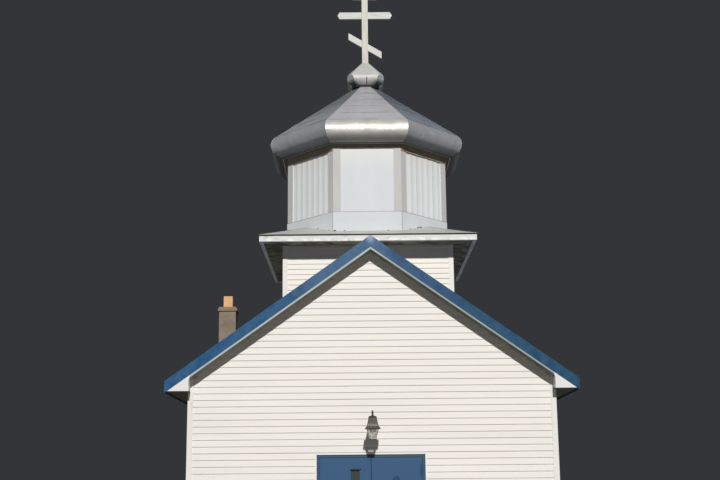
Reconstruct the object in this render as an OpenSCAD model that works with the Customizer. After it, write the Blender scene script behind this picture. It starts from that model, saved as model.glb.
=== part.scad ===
// Small timber chapel with a gabled hall, a square tower base, an eight-sided drum and a sheet-metal dome.
// The origin is at the middle of the foundation's underside; the front faces -Y.

/* [Hall] */
// Width of the hall over its corner boards
building_w = 6400; // [5600:50:7200]
// Length of the hall over its corner boards
building_l = 11950; // [11000:50:14000]
// Thickness of the timber walls
wall_t = 150; // [100:10:250]
// How far the corner boards and the siding stand out from the wall
board_t = 25; // [18:1:40]
// Width of each leg of a corner board on the hall
corner_w = 95; // [60:5:150]
// Height of the foundation above the ground
foundation_h = 150; // [100:10:300]
// Setback of the foundation from the wall face
foundation_inset = 15; // [0:5:60]
// Thickness of the plank floor
floor_t = 50; // [30:5:80]

/* [Main roof] */
// Pitch of the main roof in degrees
roof_pitch = 35.5; // [30:0.5:38]
// Height of the roof's outer edge at the eaves
eave_z = 3560; // [3300:10:3800]
// Overhang of the eaves past the corner boards
eave_overhang = 370; // [250:10:500]
// Overhang of the gable ends past the corner boards
rake_overhang = 250; // [150:10:400]
// Thickness of the roof deck and its rafters, square to the slope
roof_t = 120; // [80:5:160]
// Upright room for the roofing sheets over the deck
roofing_h = 25; // [15:1:40]
// Upright depth of the metal edge trim
trim_h = 202; // [180:2:260]
// Thickness of the metal edge trim
trim_t = 8; // [4:1:12]
// Width of the trim's flange on top of the roof
trim_flange = 60; // [40:5:100]
// How far the trim hangs below the soffits at the eaves
trim_drop = 32; // [10:1:60]
// How far the fascia boards show below the trim
fascia_reveal = 56; // [40:2:100]
// Thickness of the fascia boards
fascia_t = 38; // [20:1:50]
// Thickness of the soffit boards
soffit_t = 12; // [8:1:20]
// How far a soffit sits above the bottom of its fascia
soffit_recess = 10; // [5:1:30]
// How far the boxed ends of the eaves reach in over the corner boards
return_in = 45; // [0:5:80]
// Width of the ridge cap on each side of the ridge
ridge_cap_w = 130; // [80:5:200]
// Thickness of the ridge cap
ridge_cap_t = 8; // [4:1:15]

/* [Tower base] */
// Width of the square tower over its corner boards
tower_w = 3694; // [3500:10:3900]
// Thickness of the tower walls
tower_wall_t = 120; // [80:5:160]
// Width of each leg of a corner board on the tower
tower_corner_w = 105; // [60:5:150]
// Height of the upper edge of the skirt roof at its eaves
skirt_z = 7085; // [6900:5:7300]
// Overhang of the tower's eave past its corner boards
skirt_overhang = 471; // [350:10:600]
// Pitch of the skirt roof in degrees
skirt_pitch = 21; // [18:0.2:30]
// Upright thickness of the skirt roof
skirt_t = 48; // [20:1:60]
// Setback of the skirt roof's edge behind the face of its fascia
skirt_setback = 50; // [20:5:70]
// Depth of the white fascia under the skirt roof
skirt_fascia_h = 116; // [80:2:140]
// Thickness of the skirt fascia
skirt_fascia_t = 75; // [75:1:100]

/* [Drum] */
// How far the drum's flats stand inside the corner boards of the tower
drum_inset = 34; // [20:1:100]
// Thickness of the drum walls
drum_wall_t = 100; // [60:5:110]
// Height of the drum's top above the skirt roof's eaves
drum_h = 2135; // [1900:5:2300]
// How far the drum's corner boards stand out from its walls
drum_board_t = 20; // [15:1:30]
// Width of each leg of a corner board on the drum
drum_corner_w = 165; // [100:5:220]
// Height of the base band's top above the skirt roof's eaves
band_h = 605; // [400:5:800]
// How far the base band stands out from the drum walls
band_t = 32; // [22:1:45]

/* [Dome] */
// Overhang of the dome at its widest past the drum
dome_overhang = 379; // [300:1:450]
// Height of the dome's widest line above the drum
dome_belly = 300; // [260:5:450]
// Radius of the rounded shoulder
dome_round = 250; // [200:10:350]
// Slope of the dome's upper faces in degrees
dome_slope = 38.4; // [35:0.2:42]
// Slant of the lower edge inwards, in degrees from upright
dome_tuck = 55; // [30:1:75]
// How far the dome's lower edge hangs below its soffit
dome_lip = 10; // [5:1:30]
// Thickness of the dome's shell
dome_shell_t = 40; // [30:1:60]
// Width of the rim at the dome's lower edge
dome_rim = 20; // [15:1:40]
// Thickness of the soffit boards under the dome
dome_soffit_t = 20; // [12:1:30]

/* [Cupola and cross] */
// Widest width of the little cupola
cupola_w = 870; // [800:2:1000]
// Height of the cupola with its cone
cupola_h = 695; // [600:5:760]
// Width of the cupola's foot
cupola_foot_w = 552; // [340:2:600]
// Height of the cupola's widest line above its foot
cupola_belly = 192; // [150:2:240]
// Radius of the cupola's rounded belly
cupola_round = 120; // [80:5:145]
// How much further out its corner faces stand than its main faces
corner_face_ratio = 1.15; // [1:0.01:1.3]
// How far the cone's top stands out past the cross post
cone_lip = 3; // [2:1:20]
// Width of the cross post
post_w = 146; // [120:2:180]
// Depth of the cross post and of its bars
post_t = 60; // [40:2:70]
// Height of the cross above the cupola
post_h = 2046; // [1900:2:2200]
// Depth of a cross bar
bar_h = 170; // [120:2:200]
// Length of the pointed end of a level bar
bar_tip = 50; // [20:2:80]
// Length of the main bar over its tips
main_bar_l = 1332; // [1200:4:1500]
// Height of the main bar's middle above the cupola
main_bar_z = 1261; // [1100:1:1300]
// Length of the top bar over its tips
top_bar_l = 680; // [500:10:800]
// Height of the top bar's middle above the cupola
top_bar_z = 1771; // [1700:1:1800]
// Level length of the slanted foot bar
foot_bar_l = 800; // [600:10:900]
// Height of the foot bar's middle above the cupola
foot_bar_z = 475; // [400:1:520]
// Slant of the foot bar in degrees
foot_bar_slant = 31.5; // [20:0.5:40]

/* [Chimney] */
// Width of the square chimney shaft
chimney_w = 406; // [360:2:500]
// Distance of the shaft's near face behind the middle of the hall
chimney_y = 1305; // [1000:5:3000]
// Height of the top of the chimney cap
chimney_top = 6138; // [5800:2:6600]
// Thickness of the chimney cap
chimney_cap_h = 103; // [80:1:140]
// Height of the cap's upright edge
chimney_cap_edge = 40; // [20:2:70]
// How far the cap stands out past the shaft
chimney_cap_out = 29; // [20:1:70]
// Width of the square flue liner
flue_w = 216; // [200:2:300]
// Wall of the flue liner
flue_t = 20; // [18:1:40]
// Height of the flue liner above the cap
flue_h = 278; // [200:2:400]
// Height of the bottom of the flue above the ground
flue_foot = 600; // [300:50:1500]
// Gap between the shaft and the roof cut for it
chimney_gap = 10; // [5:1:20]

/* [Doorway] */
// Width of the door frame over its jambs
door_w = 1866; // [1700:2:2000]
// Height of the top of the door frame
door_top = 2293; // [2200:1:2350]
// How far the doorway sits to the left of the middle
door_shift = 30; // [0:5:60]
// Width of a jamb and of the frame's head
jamb_w = 45; // [35:1:60]
// How far the frame stands out past the wall face
frame_out = 20; // [10:1:24]
// Height of the sill over the foundation
sill_h = 65; // [60:1:90]
// Thickness of a door leaf
leaf_t = 45; // [38:1:55]
// Gap round a door leaf
leaf_gap = 6; // [5:0.5:8]
// Gap between the two leaves
meeting_gap = 10; // [9:0.5:14]
// How far the frame's stop reaches in behind the leaves
stop_w = 16; // [12:1:22]
// Radius of a hinge knuckle
knuckle_r = 8; // [6:0.5:10]
// Height of a hinge
hinge_h = 100; // [80:5:130]
// Width of a hinge's flap on the leaf
flap_w = 36; // [24:2:60]
// Thickness of a hinge's flap
flap_t = 4; // [2:0.5:5]
// Running gap between a knuckle and the frame's face
hinge_clear = 0.5; // [0.3:0.1:2]
// Width of the glass pane in the left leaf
lite_w = 154; // [120:2:180]
// Height of the glass pane
lite_h = 760; // [500:20:900]
// Distance of the pane's top below the leaf's top
lite_drop = 210; // [160:5:300]
// Distance of the pane from the leaf's free edge
lite_edge = 190; // [150:5:260]
// Height of the pull handle's middle above the sill
pull_z = 900; // [800:10:1100]
// Length of the pull handle
pull_l = 280; // [200:10:400]
// Distance of the pull handle's axis from the leaf
pull_out = 46; // [40:1:60]
// Radius of the pull handle's bar
pull_r = 10; // [8:1:14]

/* [Lantern] */
// Distance of the lantern's axis from the front of the corner boards
lantern_out = 410; // [350:5:450]
// Height of the bottom of the lantern's glass body
lantern_z = 2536; // [2500:2:2600]
// Height of the glass body
lantern_h = 170; // [140:2:200]
// Width of the cage at its top
lantern_top_w = 198; // [160:2:220]
// Width of the cage at its foot
lantern_foot_w = 114; // [100:2:150]
// Thickness of the cage's corner bars
cage_t = 6; // [4:1:10]
// Width of a corner bar on each face
cage_bar_w = 14; // [8:1:20]
// Height of the cage's top rail
cage_rail_h = 10; // [6:1:20]
// Height of the pan under the glass
pan_h = 8; // [6:1:20]
// Width of the hood's brim
hood_w = 255; // [220:1:280]
// Height of the brim's upright edge
brim_h = 14; // [8:1:20]
// Height of the hood up to its crown
hood_h = 165; // [140:5:200]
// Radius of the crown
crown_r = 60; // [40:2:65]
// Height of the crown
crown_h = 55; // [40:5:70]
// Radius of the finial at its foot
finial_r = 14; // [10:1:24]
// Height of the finial
finial_h = 93; // [80:1:140]
// Thickness of the glass panes
pane_t = 4; // [3:0.5:6]
// Radius of the arm's tube
arm_r = 9; // [6:0.5:12]
// Height of the arm above the brim
arm_z = 110; // [90:5:130]
// How far the arm's socket reaches out behind the lantern's axis
arm_socket = 84; // [76:2:110]
// Radius of the wall plate
arm_plate_r = 44; // [35:1:60]

/* [Hidden] */
$fn = 48;

half_w = building_w / 2;
half_l = building_l / 2;
wall_x = half_w - board_t;
wall_y = half_l - board_t;
floor_top = foundation_h + floor_t;

// Main roof: heights measured down from the outer line of the roof
edge_x = half_w + eave_overhang;
edge_y = half_l + rake_overhang;
deck_x = edge_x - trim_t;
deck_y = edge_y - trim_t - fascia_t;
// Gap left where two slanting faces meet
seat = 0.2;
ridge_z = eave_z + tan(roof_pitch) * edge_x;
deck_top = roofing_h + seat;
deck_bottom = deck_top + roof_t / cos(roof_pitch);
plate_line = deck_bottom + seat;
fascia_bottom = trim_h + fascia_reveal;
eave_bottom = eave_z - trim_h;
soffit_z = eave_bottom + trim_drop;
rake_soffit_bottom = fascia_bottom - soffit_recess;
rake_soffit_top = rake_soffit_bottom - soffit_t / cos(roof_pitch);
board_line = rake_soffit_bottom + seat;
return_t = 20;
return_x = half_w - return_in;
// Where the fascia's lower edge meets the level of the eave's soffit
fascia_knee = (ridge_z - fascia_bottom - soffit_z) / tan(roof_pitch);

// Tower base and its skirt roof
tower_half = tower_w / 2;
tower_x = tower_half - board_t;
skirt_x = tower_half + skirt_overhang;
skirt_edge = skirt_x - skirt_setback;
skirt_fascia_top = skirt_z - skirt_t;
skirt_fascia_bottom = skirt_fascia_top - skirt_fascia_h;
skirt_soffit_z = skirt_fascia_bottom + soffit_recess;
tower_top = skirt_soffit_z + soffit_t;

// Drum, measured from the axis to a flat
drum_out = tower_half - drum_inset;
drum_wall = drum_out - drum_board_t;
drum_side = 2 * drum_out * tan(22.5);
drum_top = skirt_z + drum_h;
band_top = skirt_z + band_h;

// Dome: its upper faces end where the cupola's foot stands
dome_out = drum_out + dome_overhang;
dome_shoulder_x = dome_out - dome_round + dome_round * sin(dome_slope);
dome_shoulder_h = dome_belly + dome_round * cos(dome_slope);
dome_rise = dome_shoulder_h + tan(dome_slope) * (dome_shoulder_x - cupola_foot_w / 2);
dome_edge = dome_out - dome_round + dome_round * cos(dome_tuck)
    - (dome_belly + dome_lip - dome_round * sin(dome_tuck)) * tan(dome_tuck);
cross_z = drum_top + dome_rise + cupola_h;

// Doorway
door_x = -door_shift;
door_y = -(wall_y + frame_out);
sill_top = foundation_h + sill_h;
clear_half = door_w / 2 - jamb_w;
leaf_w = clear_half - leaf_gap - meeting_gap / 2;
leaf_z = sill_top + leaf_gap + 2;
leaf_h = door_top - jamb_w - leaf_gap - leaf_z;
stop_y = door_y + leaf_t + 2 * leaf_gap;
hinge_y = door_y - knuckle_r - hinge_clear;
lantern_y = -(half_l + lantern_out);

function roof_line(x) = ridge_z - tan(roof_pitch) * abs(x);

// Extrudes an outline drawn in X and Z along Y
module along_y(from, to)
    translate([0, to, 0])
        rotate([90, 0, 0])
            linear_extrude(to - from)
                children();

// A box given by its two corners
module block(low, high)
    translate(low)
        cube(high - low);

// Outline of the roof deck's right-hand slope, its tail cut level over the soffit
module deck_outline() {
    tail_z = soffit_z + soffit_t + seat;
    tail_x = min(deck_x - 2 * seat, (ridge_z - deck_bottom - tail_z) / tan(roof_pitch));
    end_x = deck_x - seat;
    polygon([[0, ridge_z - deck_top], [end_x, roof_line(end_x) - deck_top], [end_x, roof_line(tail_x) - deck_bottom],
        [tail_x, roof_line(tail_x) - deck_bottom], [0, ridge_z - deck_bottom]]);
}

// Outline of a layer that follows the right-hand slope, given by its depths below the roof line
module slope_layer(x0, x1, top, bottom)
    polygon([[x0, roof_line(x0) - top], [x1, roof_line(x1) - top],
        [x1, roof_line(x1) - bottom], [x0, roof_line(x0) - bottom]]);

// Outline of a layer that runs over the ridge from one side to the other
module ridge_layer(x, top, bottom)
    polygon([[-x, roof_line(x) - top], [0, ridge_z - top], [x, roof_line(x) - top],
        [x, roof_line(x) - bottom], [0, ridge_z - bottom], [-x, roof_line(x) - bottom]]);

// Both the thing and its mirror image across the middle of the hall
module both_sides() {
    children();
    mirror([1, 0, 0])
        children();
}

// Both the thing and its mirror image at the other end of the hall
module both_ends() {
    children();
    mirror([0, 1, 0])
        children();
}

// Room that the roof leaves for the chimney shaft
module chimney_room()
    block([-edge_x - eave_overhang, chimney_y - chimney_gap, foundation_h],
        [-half_w, chimney_y + chimney_w + chimney_gap, ridge_z]);

module foundation()
    color("#8d8a84")
        block([foundation_inset - wall_x, foundation_inset - wall_y, 0],
            [wall_x - foundation_inset, wall_y - foundation_inset, foundation_h]);

module floor()
    color("#8a6f52")
        block([wall_t - wall_x, wall_t - wall_y, foundation_h],
            [wall_x - wall_t, wall_y - wall_t, floor_top]);

module front_wall_left()
    color("#e6e2da")
        block([-wall_x, -wall_y, foundation_h], [door_x - door_w / 2, wall_t - wall_y, door_top]);

module front_wall_right()
    color("#e6e2da")
        block([door_x + door_w / 2, -wall_y, foundation_h], [wall_x, wall_t - wall_y, door_top]);

// Outline of an end wall from a level up to the underside of the roof deck
module gable_outline(level)
    polygon([[-wall_x, level], [wall_x, level], [wall_x, roof_line(wall_x) - plate_line],
        [0, ridge_z - plate_line], [-wall_x, roof_line(wall_x) - plate_line]]);

module front_gable()
    color("#e6e2da")
        along_y(-wall_y, wall_t - wall_y)
            gable_outline(door_top);

module rear_wall()
    color("#e6e2da")
        along_y(wall_y - wall_t, wall_y)
            gable_outline(foundation_h);

module side_wall() {
    inner = wall_x - wall_t;
    color("#e6e2da")
        along_y(wall_t - wall_y, wall_y - wall_t)
            polygon([[inner, foundation_h], [wall_x, foundation_h],
                [wall_x, roof_line(wall_x) - plate_line], [inner, roof_line(inner) - plate_line]]);
}

module left_wall()
    mirror([1, 0, 0])
        side_wall();

module right_wall()
    side_wall();

// Two boards in an L round each corner, up to the soffits
module corner_boards()
    color("#efece6")
        both_sides()
            both_ends() {
                along_y(wall_y, half_l)
                    polygon([[half_w - corner_w, foundation_h], [half_w, foundation_h],
                        [half_w, roof_line(half_w) - board_line],
                        [half_w - corner_w, roof_line(half_w - corner_w) - board_line]]);
                block([wall_x, half_l - corner_w, foundation_h], [half_w, wall_y, soffit_z]);
            }

module roof_right()
    color("#4a6f96")
        along_y(-deck_y, deck_y)
            deck_outline();

module roof_left()
    color("#4a6f96")
        difference() {
            mirror([1, 0, 0])
                along_y(-deck_y, deck_y)
                    deck_outline();
            chimney_room();
        }

// Folded cap over the ridge, in front of the tower and behind it
module ridge_cap()
    color("#8f90a8")
        both_ends()
            along_y(tower_half, edge_y)
                ridge_layer(ridge_cap_w, -seat - ridge_cap_t, -seat);

// Blue sheet over the gable's edge: an upright face and a flange on top
module rake_trim()
    color("#325c87") {
        along_y(-edge_y, trim_t - edge_y)
            ridge_layer(edge_x, 0, trim_h);
        along_y(trim_t - edge_y, trim_flange - edge_y)
            ridge_layer(edge_x, 0, roofing_h);
    }

module front_rake_trim()
    rake_trim();

module rear_rake_trim()
    mirror([0, 1, 0])
        rake_trim();

// White boards behind the trim, cut level at the eaves
module rake_fascias()
    color("#e9e7e2")
        both_ends()
            along_y(deck_y, deck_y + fascia_t - seat)
                polygon([[-deck_x, soffit_z], [-deck_x, roof_line(deck_x) - deck_top],
                    [0, ridge_z - deck_top], [deck_x, roof_line(deck_x) - deck_top],
                    [deck_x, soffit_z], [fascia_knee, soffit_z], [0, ridge_z - fascia_bottom],
                    [-fascia_knee, soffit_z]]);

module rake_soffits()
    color("#d8d5ce")
        both_ends()
            along_y(wall_y, deck_y)
                ridge_layer(half_w, rake_soffit_top, rake_soffit_bottom);

// Blue sheet along the eaves, cut where the chimney passes
module eave_trims()
    color("#325c87")
        difference() {
            both_sides() {
                block([deck_x, trim_flange - edge_y, eave_bottom], [edge_x, edge_y - trim_flange, eave_z - roofing_h]);
                block([deck_x, trim_t - edge_y, eave_bottom], [edge_x, edge_y - trim_t, eave_z - roofing_h]);
                along_y(trim_flange - edge_y, edge_y - trim_flange)
                    slope_layer(edge_x - trim_flange, edge_x, 0, roofing_h);
            }
            chimney_room();
        }

module eave_soffits()
    color("#d8d5ce")
        difference() {
            both_sides() {
                block([wall_x, -wall_y, soffit_z], [deck_x, wall_y, soffit_z + soffit_t]);
                block([half_w, -deck_y, soffit_z], [deck_x, deck_y, soffit_z + soffit_t]);
                both_ends()
                    block([return_x, half_l, soffit_z], [deck_x, deck_y, soffit_z + soffit_t]);
            }
            chimney_room();
        }

// Boxed ends of the eaves: a triangle in the plane of the fascia and a cheek behind it
module eave_returns()
    color("#efece6")
        both_sides()
            both_ends() {
                along_y(deck_y, deck_y + fascia_t - seat)
                    polygon([[return_x, soffit_z], [fascia_knee - seat, soffit_z],
                        [return_x, roof_line(return_x) - fascia_bottom - seat]]);
                along_y(half_l, deck_y)
                    polygon([[return_x, soffit_z + soffit_t], [return_x + return_t, soffit_z + soffit_t],
                        [return_x + return_t, roof_line(return_x + return_t) - board_line],
                        [return_x, roof_line(return_x) - board_line]]);
            }

// Outline of a tower wall that stands astride the ridge
module tower_front_wall()
    color("#e2e2e0")
        along_y(-tower_x, tower_wall_t - tower_x)
            polygon([[-tower_x, roof_line(tower_x) - roofing_h], [0, ridge_z - roofing_h],
                [tower_x, roof_line(tower_x) - roofing_h], [tower_x, tower_top], [-tower_x, tower_top]]);

module tower_rear_wall()
    mirror([0, 1, 0])
        tower_front_wall();

module tower_side_walls() {
    inner = tower_x - tower_wall_t;
    color("#e2e2e0")
        both_sides()
            along_y(-inner, inner)
                polygon([[inner, roof_line(inner) - roofing_h], [tower_x, roof_line(tower_x) - roofing_h],
                    [tower_x, tower_top], [inner, tower_top]]);
}

module tower_corner_boards()
    color("#efece6")
        both_sides()
            both_ends() {
                along_y(tower_x, tower_half)
                    polygon([[tower_half - tower_corner_w, roof_line(tower_half - tower_corner_w) - roofing_h],
                        [tower_half, roof_line(tower_half) - roofing_h],
                        [tower_half, skirt_soffit_z], [tower_half - tower_corner_w, skirt_soffit_z]]);
                along_y(tower_half - tower_corner_w, tower_x)
                    polygon([[tower_x, roof_line(tower_x) - roofing_h],
                        [tower_half, roof_line(tower_half) - roofing_h],
                        [tower_half, skirt_soffit_z], [tower_x, skirt_soffit_z]]);
            }

// A square frame round the tower's axis
module square_ring(outer, inner, low, high)
    difference() {
        block([-outer, -outer, low], [outer, outer, high]);
        block([-inner, -inner, low - 1], [inner, inner, high + 1]);
    }

module skirt_soffit()
    color("#d8d5ce")
        square_ring(skirt_x - skirt_fascia_t, tower_x, skirt_soffit_z, tower_top);

module skirt_fascia()
    color("#efece6")
        square_ring(skirt_x, skirt_x - skirt_fascia_t, skirt_fascia_bottom, skirt_fascia_top);

// Everything under a square pyramid whose eave line is at a height
module under_pyramid(height) {
    peak = height + tan(skirt_pitch) * skirt_edge;
    intersection_for(turn = [0, 90])
        rotate([0, 0, turn])
            along_y(-skirt_edge, skirt_edge)
                polygon([[-skirt_edge, tower_top - skirt_edge], [skirt_edge, tower_top - skirt_edge],
                    [skirt_edge, height], [0, peak], [-skirt_edge, height]]);
}

// An upright eight-sided prism with a flat to the front, given by its half width
module octagon(flat, low, high)
    translate([0, 0, low])
        rotate([0, 0, 22.5])
            cylinder(r = flat / cos(22.5), h = high - low, $fn = 8);

module skirt_roof()
    color("#b9bcc0")
        difference() {
            under_pyramid(skirt_z);
            under_pyramid(skirt_z - skirt_t);
            octagon(drum_wall, tower_top - tower_half, skirt_z + tower_half);
        }

module drum_walls()
    color("#d0d2d6")
        difference() {
            octagon(drum_wall, tower_top, drum_top);
            octagon(drum_wall - drum_wall_t, tower_top - 1, drum_top + 1);
        }

// A board folded round each of the eight corners
module drum_corner_boards()
    color("#dcdde0")
        difference() {
            octagon(drum_out, band_top, drum_top);
            octagon(drum_wall, band_top - 1, drum_top + 1);
            for (turn = [0:45:135])
                rotate([0, 0, turn])
                    block([-tower_w, drum_corner_w - drum_side / 2, band_top - 1],
                        [tower_w, drum_side / 2 - drum_corner_w, drum_top + 1]);
        }

module drum_base_band()
    color("#dcdde0")
        difference() {
            octagon(drum_wall + band_t, skirt_z, band_top);
            octagon(drum_wall, skirt_z - 1, band_top + 1);
            under_pyramid(skirt_z);
        }

// Half of an outline inside the dome's outer face, from its lower edge up to its top, measured from
// the axis to a flat
function dome_half(inset = 0) =
    let (reach = dome_round - inset, middle = [dome_out - dome_round, drum_top + dome_belly])
    [for (i = [0:12]) let (a = -dome_tuck + i / 12 * (90 - dome_slope + dome_tuck))
        middle + reach * [cos(a), sin(a)],
        [cupola_foot_w / 2, drum_top + dome_rise - inset / cos(dome_slope)]];

// The outer outline, closed down to its lower edge
function dome_outside() =
    let (outline = dome_half())
    concat([[dome_edge, drum_top - dome_lip]], outline);

// The inner outline, open below inside the rim
function dome_inside() =
    let (outline = dome_half(dome_shell_t), opening = dome_edge - dome_rim)
    concat([[opening, drum_top - dome_round],
        [opening, outline[0].y - (outline[0].x - opening) / tan(dome_tuck)]], outline);

// A form with a flat to the front whose faces all follow half an outline, with 4 or 8 sides
module faced(half_outline, sides = 8, corner_ratio = 1) {
    reach = 2 * max([for (p = half_outline) p.x]);
    intersection_for(turn = [0:360 / sides:179]) {
        ratio = turn % 90 == 0 ? 1 : corner_ratio;
        rotate([0, 0, turn])
            along_y(-reach, reach)
                polygon(concat([for (p = half_outline) [p.x * ratio, p.y]],
                    [for (i = [len(half_outline) - 1:-1:0]) [-half_outline[i].x * ratio, half_outline[i].y]]));
    }
}

module dome()
    color("#a9a9b0")
        difference() {
            faced(dome_outside());
            faced(dome_inside());
        }

module dome_soffit()
    color("#9a9a98")
        difference() {
            octagon(dome_edge - dome_rim - seat, drum_top + seat, drum_top + dome_soffit_t);
            octagon(drum_wall - drum_wall_t, drum_top - 1, drum_top + dome_soffit_t + 1);
        }

// A rounded square belly under a steep cone that runs tangent into it
module cupola() {
    foot_z = drum_top + dome_rise;
    belly = [cupola_w / 2 - cupola_round, foot_z + cupola_belly];
    tip = [post_w / 2 + cone_lip, foot_z + cupola_h];
    way = tip - belly;
    tangent = atan2(way.y, way.x) - acos(cupola_round / norm(way));
    color("#a9a9b0")
        faced(concat([[cupola_foot_w / 2, foot_z]],
            [for (i = [0:8]) let (a = -75 + i / 8 * (75 + tangent)) belly + cupola_round * [cos(a), sin(a)]],
            [tip]), 8, corner_face_ratio);
}

module cross_post()
    color("#ecece8")
        block([-post_w / 2, -post_t, cross_z], [post_w / 2, 0, cross_z + post_h]);

// Three bars behind the post: two level with pointed ends, the lowest slanting down to the right
module cross_bars()
    color("#ecece8") {
        for (bar = [[top_bar_l / 2, top_bar_z], [main_bar_l / 2, main_bar_z]])
            translate([0, 0, cross_z + bar[1]])
                along_y(0, post_t)
                    polygon([[-bar[0], 0], [bar_tip - bar[0], -bar_h / 2], [bar[0] - bar_tip, -bar_h / 2],
                        [bar[0], 0], [bar[0] - bar_tip, bar_h / 2], [bar_tip - bar[0], bar_h / 2]]);
        drop = tan(foot_bar_slant) * foot_bar_l / 2;
        translate([0, 0, cross_z + foot_bar_z])
            along_y(0, post_t)
                polygon([[-foot_bar_l / 2, drop - bar_h / 2], [foot_bar_l / 2, -drop - bar_h / 2],
                    [foot_bar_l / 2, bar_h / 2 - drop], [-foot_bar_l / 2, drop + bar_h / 2]]);
    }

// Room for the flue liner inside the shaft and the cap
module flue_room()
    translate([-half_w - chimney_w / 2, chimney_y + chimney_w / 2, 0])
        block([-flue_w / 2, -flue_w / 2, flue_foot], [flue_w / 2, flue_w / 2, chimney_top + 1]);

module chimney_shaft()
    color("#87796a")
        difference() {
            block([-half_w - chimney_w, chimney_y, 0],
                [-half_w, chimney_y + chimney_w, chimney_top - chimney_cap_h]);
            flue_room();
        }

// A slab with an upright edge and a slope up to the flue
module chimney_cap() {
    foot_z = chimney_top - chimney_cap_h;
    half = chimney_w / 2 + chimney_cap_out;
    color("#9a8d7d")
        difference() {
            translate([-half_w - chimney_w / 2, chimney_y + chimney_w / 2, 0])
                faced([[half, foot_z], [half, foot_z + chimney_cap_edge], [chimney_w / 2, chimney_top]], 4);
            flue_room();
        }
}

module chimney_flue()
    color("#d8a070")
        translate([-half_w - chimney_w / 2, chimney_y + chimney_w / 2, 0])
            square_ring(flue_w / 2, flue_w / 2 - flue_t, flue_foot, chimney_top + flue_h);

module door_frame()
    color("#33557d")
        translate([door_x, 0, 0]) {
            difference() {
                block([-door_w / 2, door_y, foundation_h], [door_w / 2, wall_t - wall_y, door_top]);
                block([-clear_half, door_y - 1, sill_top], [clear_half, stop_y, door_top - jamb_w]);
                block([stop_w - clear_half, door_y - 1, sill_top],
                    [clear_half - stop_w, wall_t - wall_y + 1, door_top - jamb_w - stop_w]);
            }
        }

// A leaf hung at its left edge, with three hinge knuckles on the outside
module leaf() {
    block([leaf_gap, door_y + leaf_gap, leaf_z], [leaf_gap + leaf_w, door_y + leaf_gap + leaf_t, leaf_z + leaf_h]);
    for (z = [0.1, 0.5, 0.9])
        translate([0, hinge_y, leaf_z + z * leaf_h - hinge_h / 2]) {
            cylinder(r = knuckle_r, h = hinge_h);
            block([0, 0, 0], [knuckle_r, door_y + leaf_gap - hinge_y, hinge_h]);
            block([0, door_y + leaf_gap - flap_t - hinge_y, 0], [flap_w, door_y + leaf_gap - hinge_y, hinge_h]);
        }
}

// Room for the glass pane in the left leaf, measured from the hinge edge
module lite_room(grow, low_y, high_y)
    block([leaf_gap + leaf_w - lite_edge - lite_w - grow, low_y, leaf_z + leaf_h - lite_drop - lite_h - grow],
        [leaf_gap + leaf_w - lite_edge + grow, high_y, leaf_z + leaf_h - lite_drop + grow]);

module left_door()
    color("#3e628c")
        translate([door_x - clear_half, 0, 0])
            difference() {
                leaf();
                lite_room(0, door_y - 20, door_y + leaf_t + 20);
            }

module right_door()
    color("#3e628c")
        translate([door_x + clear_half, 0, 0])
            mirror([1, 0, 0])
                leaf();

module door_lite()
    color("#8fa39a")
        translate([door_x - clear_half, 0, 0])
            lite_room(0, door_y + leaf_gap + leaf_t / 2 - 6, door_y + leaf_gap + leaf_t / 2 + 6);

// A bar pull on two posts beside the free edge of the left leaf
module door_pull()
    color("#2c2c2c")
        translate([door_x - clear_half + leaf_gap + leaf_w - 70, door_y + leaf_gap, sill_top + pull_z]) {
            for (z = [-0.4, 0.4])
                translate([0, 0, z * pull_l])
                    rotate([90, 0, 0])
                        cylinder(r = 0.8 * pull_r, h = pull_out);
            translate([0, -pull_out, -pull_l / 2])
                cylinder(r = pull_r, h = pull_l);
        }

// Wall plate and a level arm that carries the lantern by its hood
module lantern_arm()
    color("#5a524a")
        translate([0, -wall_y, lantern_z + lantern_h + arm_z])
            rotate([90, 0, 0]) {
                cylinder(r = arm_plate_r, h = board_t + 12);
                cylinder(r = arm_r, h = lantern_out + board_t - arm_socket);
            }

// Outline of the tapered cage between two depths inside its faces and two heights
function cage_outline(inset, low, high) =
    [for (z = [low, high])
        [(lantern_foot_w + (lantern_top_w - lantern_foot_w) * z / lantern_h) / 2 - inset, z]];

// Bell-shaped hood with a crown and a finial, over a cage of four corner bars and a pan
module lantern_frame()
    color("#5a524a")
        translate([0, lantern_y, lantern_z]) {
            difference() {
                faced(cage_outline(0, -pan_h, lantern_h), 4);
                faced(cage_outline(cage_t, 0, lantern_h + 1), 4);
                for (turn = [0, 90])
                    rotate([0, 0, turn])
                        along_y(-hood_w, hood_w)
                            polygon([[cage_bar_w - lantern_foot_w / 2, 0],
                                [lantern_foot_w / 2 - cage_bar_w, 0],
                                [lantern_top_w / 2 - cage_bar_w, lantern_h - cage_rail_h],
                                [cage_bar_w - lantern_top_w / 2, lantern_h - cage_rail_h]]);
            }
            translate([0, 0, lantern_h]) {
                faced([[hood_w / 2, 0], [hood_w / 2, brim_h], [hood_w * 0.282, hood_h * 0.42],
                    [hood_w * 0.266, hood_h * 0.55], [hood_w * 0.258, hood_h * 0.76],
                    [crown_r, hood_h]], 4);
                block([-arm_r - 4, 0, arm_z - arm_r - 4], [arm_r + 4, arm_socket, arm_z + arm_r + 4]);
                translate([0, 0, hood_h])
                    cylinder(r = crown_r, h = crown_h * 0.6);
                translate([0, 0, hood_h + crown_h * 0.6])
                    cylinder(r1 = crown_r, r2 = finial_r, h = crown_h * 0.4);
                translate([0, 0, hood_h + crown_h])
                    cylinder(r1 = finial_r, r2 = finial_r / 2, h = finial_h);
            }
        }

// Four panes inside the cage, standing on its pan
module lantern_glass()
    color("#cfd4cc")
        translate([0, lantern_y, lantern_z])
            difference() {
                faced(cage_outline(cage_t + seat, 0, lantern_h - seat), 4);
                faced(cage_outline(cage_t + pane_t, -1, lantern_h + 1), 4);
            }

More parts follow.
